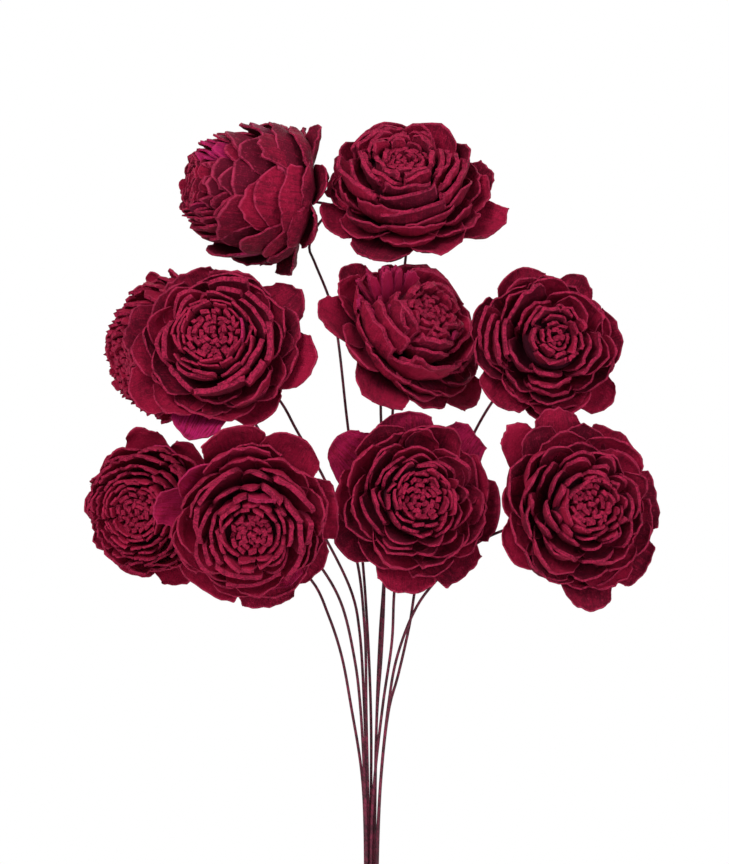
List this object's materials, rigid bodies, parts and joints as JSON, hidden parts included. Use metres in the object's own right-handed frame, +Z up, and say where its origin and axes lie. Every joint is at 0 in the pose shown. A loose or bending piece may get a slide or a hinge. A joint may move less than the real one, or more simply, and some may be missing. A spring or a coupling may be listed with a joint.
{
  "type": "bunch of sola wood roses",
  "caption": "Gathered bunch of burgundy dyed sola wood roses, each a fringed heart inside whorls of pith petals on its own bendable wire stem, held by a tie.",
  "frame": {"origin": "middle of the tie that gathers the ten stems, on the line of the bundle", "axes": "+Z runs up the stems to the roses, -Y is the bunch's front, which most roses face, and +X is to the right seen from the front"},
  "size_m": [0.2494, 0.1501, 0.4041],
  "materials": {
    "pith_heart": "matt dyed pith, cut on end, fringed",
    "pith_slabs": "matt dyed pith slabs with porous bright cut ends",
    "pith_petals": "matt dyed thin pith, velvety",
    "wire_wrap": "wire wrapped in dyed paper, matt",
    "tie_tape": "dyed crepe tape, matt"
  },
  "bodies": {
    "bundle": {"tie": "tie_tape", "rose_01_stem_lower": "wire_wrap", "rose_02_stem_lower": "wire_wrap", "rose_03_stem_lower": "wire_wrap", "rose_04_stem_lower": "wire_wrap", "rose_05_stem_lower": "wire_wrap", "rose_06_stem_lower": "wire_wrap", "rose_07_stem_lower": "wire_wrap", "rose_08_stem_lower": "wire_wrap", "rose_09_stem_lower": "wire_wrap", "rose_10_stem_lower": "wire_wrap"},
    "rose_01": {"rose_01_heart": "pith_heart", "rose_01_inner_petals": "pith_slabs", "rose_01_outer_petals": "pith_petals", "rose_01_stem_upper": "wire_wrap"},
    "rose_02": {"rose_02_heart": "pith_heart", "rose_02_inner_petals": "pith_slabs", "rose_02_outer_petals": "pith_petals", "rose_02_stem_upper": "wire_wrap"},
    "rose_03": {"rose_03_heart": "pith_heart", "rose_03_inner_petals": "pith_slabs", "rose_03_outer_petals": "pith_petals", "rose_03_stem_upper": "wire_wrap"},
    "rose_04": {"rose_04_heart": "pith_heart", "rose_04_inner_petals": "pith_slabs", "rose_04_outer_petals": "pith_petals", "rose_04_stem_upper": "wire_wrap"},
    "rose_05": {"rose_05_heart": "pith_heart", "rose_05_inner_petals": "pith_slabs", "rose_05_outer_petals": "pith_petals", "rose_05_stem_upper": "wire_wrap"},
    "rose_06": {"rose_06_heart": "pith_heart", "rose_06_inner_petals": "pith_slabs", "rose_06_outer_petals": "pith_petals", "rose_06_stem_upper": "wire_wrap"},
    "rose_07": {"rose_07_heart": "pith_heart", "rose_07_inner_petals": "pith_slabs", "rose_07_outer_petals": "pith_petals", "rose_07_stem_upper": "wire_wrap"},
    "rose_08": {"rose_08_heart": "pith_heart", "rose_08_inner_petals": "pith_slabs", "rose_08_outer_petals": "pith_petals", "rose_08_stem_upper": "wire_wrap"},
    "rose_09": {"rose_09_heart": "pith_heart", "rose_09_inner_petals": "pith_slabs", "rose_09_outer_petals": "pith_petals", "rose_09_stem_upper": "wire_wrap"},
    "rose_10": {"rose_10_heart": "pith_heart", "rose_10_inner_petals": "pith_slabs", "rose_10_outer_petals": "pith_petals", "rose_10_stem_upper": "wire_wrap"}
  },
  "joints": [
    {"name": "rose_01_bend", "type": "hinge", "parent": "bundle", "child": "rose_01", "pos_m": [0, 0.004, 0.097], "axis": [-0.9962, -0.0872, 0], "range_deg": [0, 20]},
    {"name": "rose_02_bend", "type": "hinge", "parent": "bundle", "child": "rose_02", "pos_m": [0.0026, 0.004, 0.103], "axis": [-0.6428, 0.766, 0], "range_deg": [0, 20]},
    {"name": "rose_03_bend", "type": "hinge", "parent": "bundle", "child": "rose_03", "pos_m": [-0.002, 0, 0.099], "axis": [0.342, -0.9397, 0], "range_deg": [0, 15]},
    {"name": "rose_04_bend", "type": "hinge", "parent": "bundle", "child": "rose_04", "pos_m": [-0.0028, 0.003, 0.099], "axis": [-0.5, -0.866, 0], "range_deg": [0, 20]},
    {"name": "rose_05_bend", "type": "hinge", "parent": "bundle", "child": "rose_05", "pos_m": [0.0026, 0.0006, 0.1], "axis": [0.9397, -0.342, 0], "range_deg": [0, 8]},
    {"name": "rose_06_bend", "type": "hinge", "parent": "bundle", "child": "rose_06", "pos_m": [0.008, 0.001, 0.103], "axis": [-0.8192, 0.5736, 0], "range_deg": [0, 20]},
    {"name": "rose_07_bend", "type": "hinge", "parent": "bundle", "child": "rose_07", "pos_m": [-0.0086, 0.0004, 0.103], "axis": [0, -1, 0], "range_deg": [0, 20]},
    {"name": "rose_08_bend", "type": "hinge", "parent": "bundle", "child": "rose_08", "pos_m": [-0.0046, -0.0022, 0.103], "axis": [0.866, -0.5, 0], "range_deg": [0, 20]},
    {"name": "rose_09_bend", "type": "hinge", "parent": "bundle", "child": "rose_09", "pos_m": [0.005, -0.0016, 0.103], "axis": [1, 0, 0], "range_deg": [0, 20]},
    {"name": "rose_10_bend", "type": "hinge", "parent": "bundle", "child": "rose_10", "pos_m": [0.0074, -0.0024, 0.103], "axis": [0.2588, 0.9659, 0], "range_deg": [0, 20]}
  ]
}
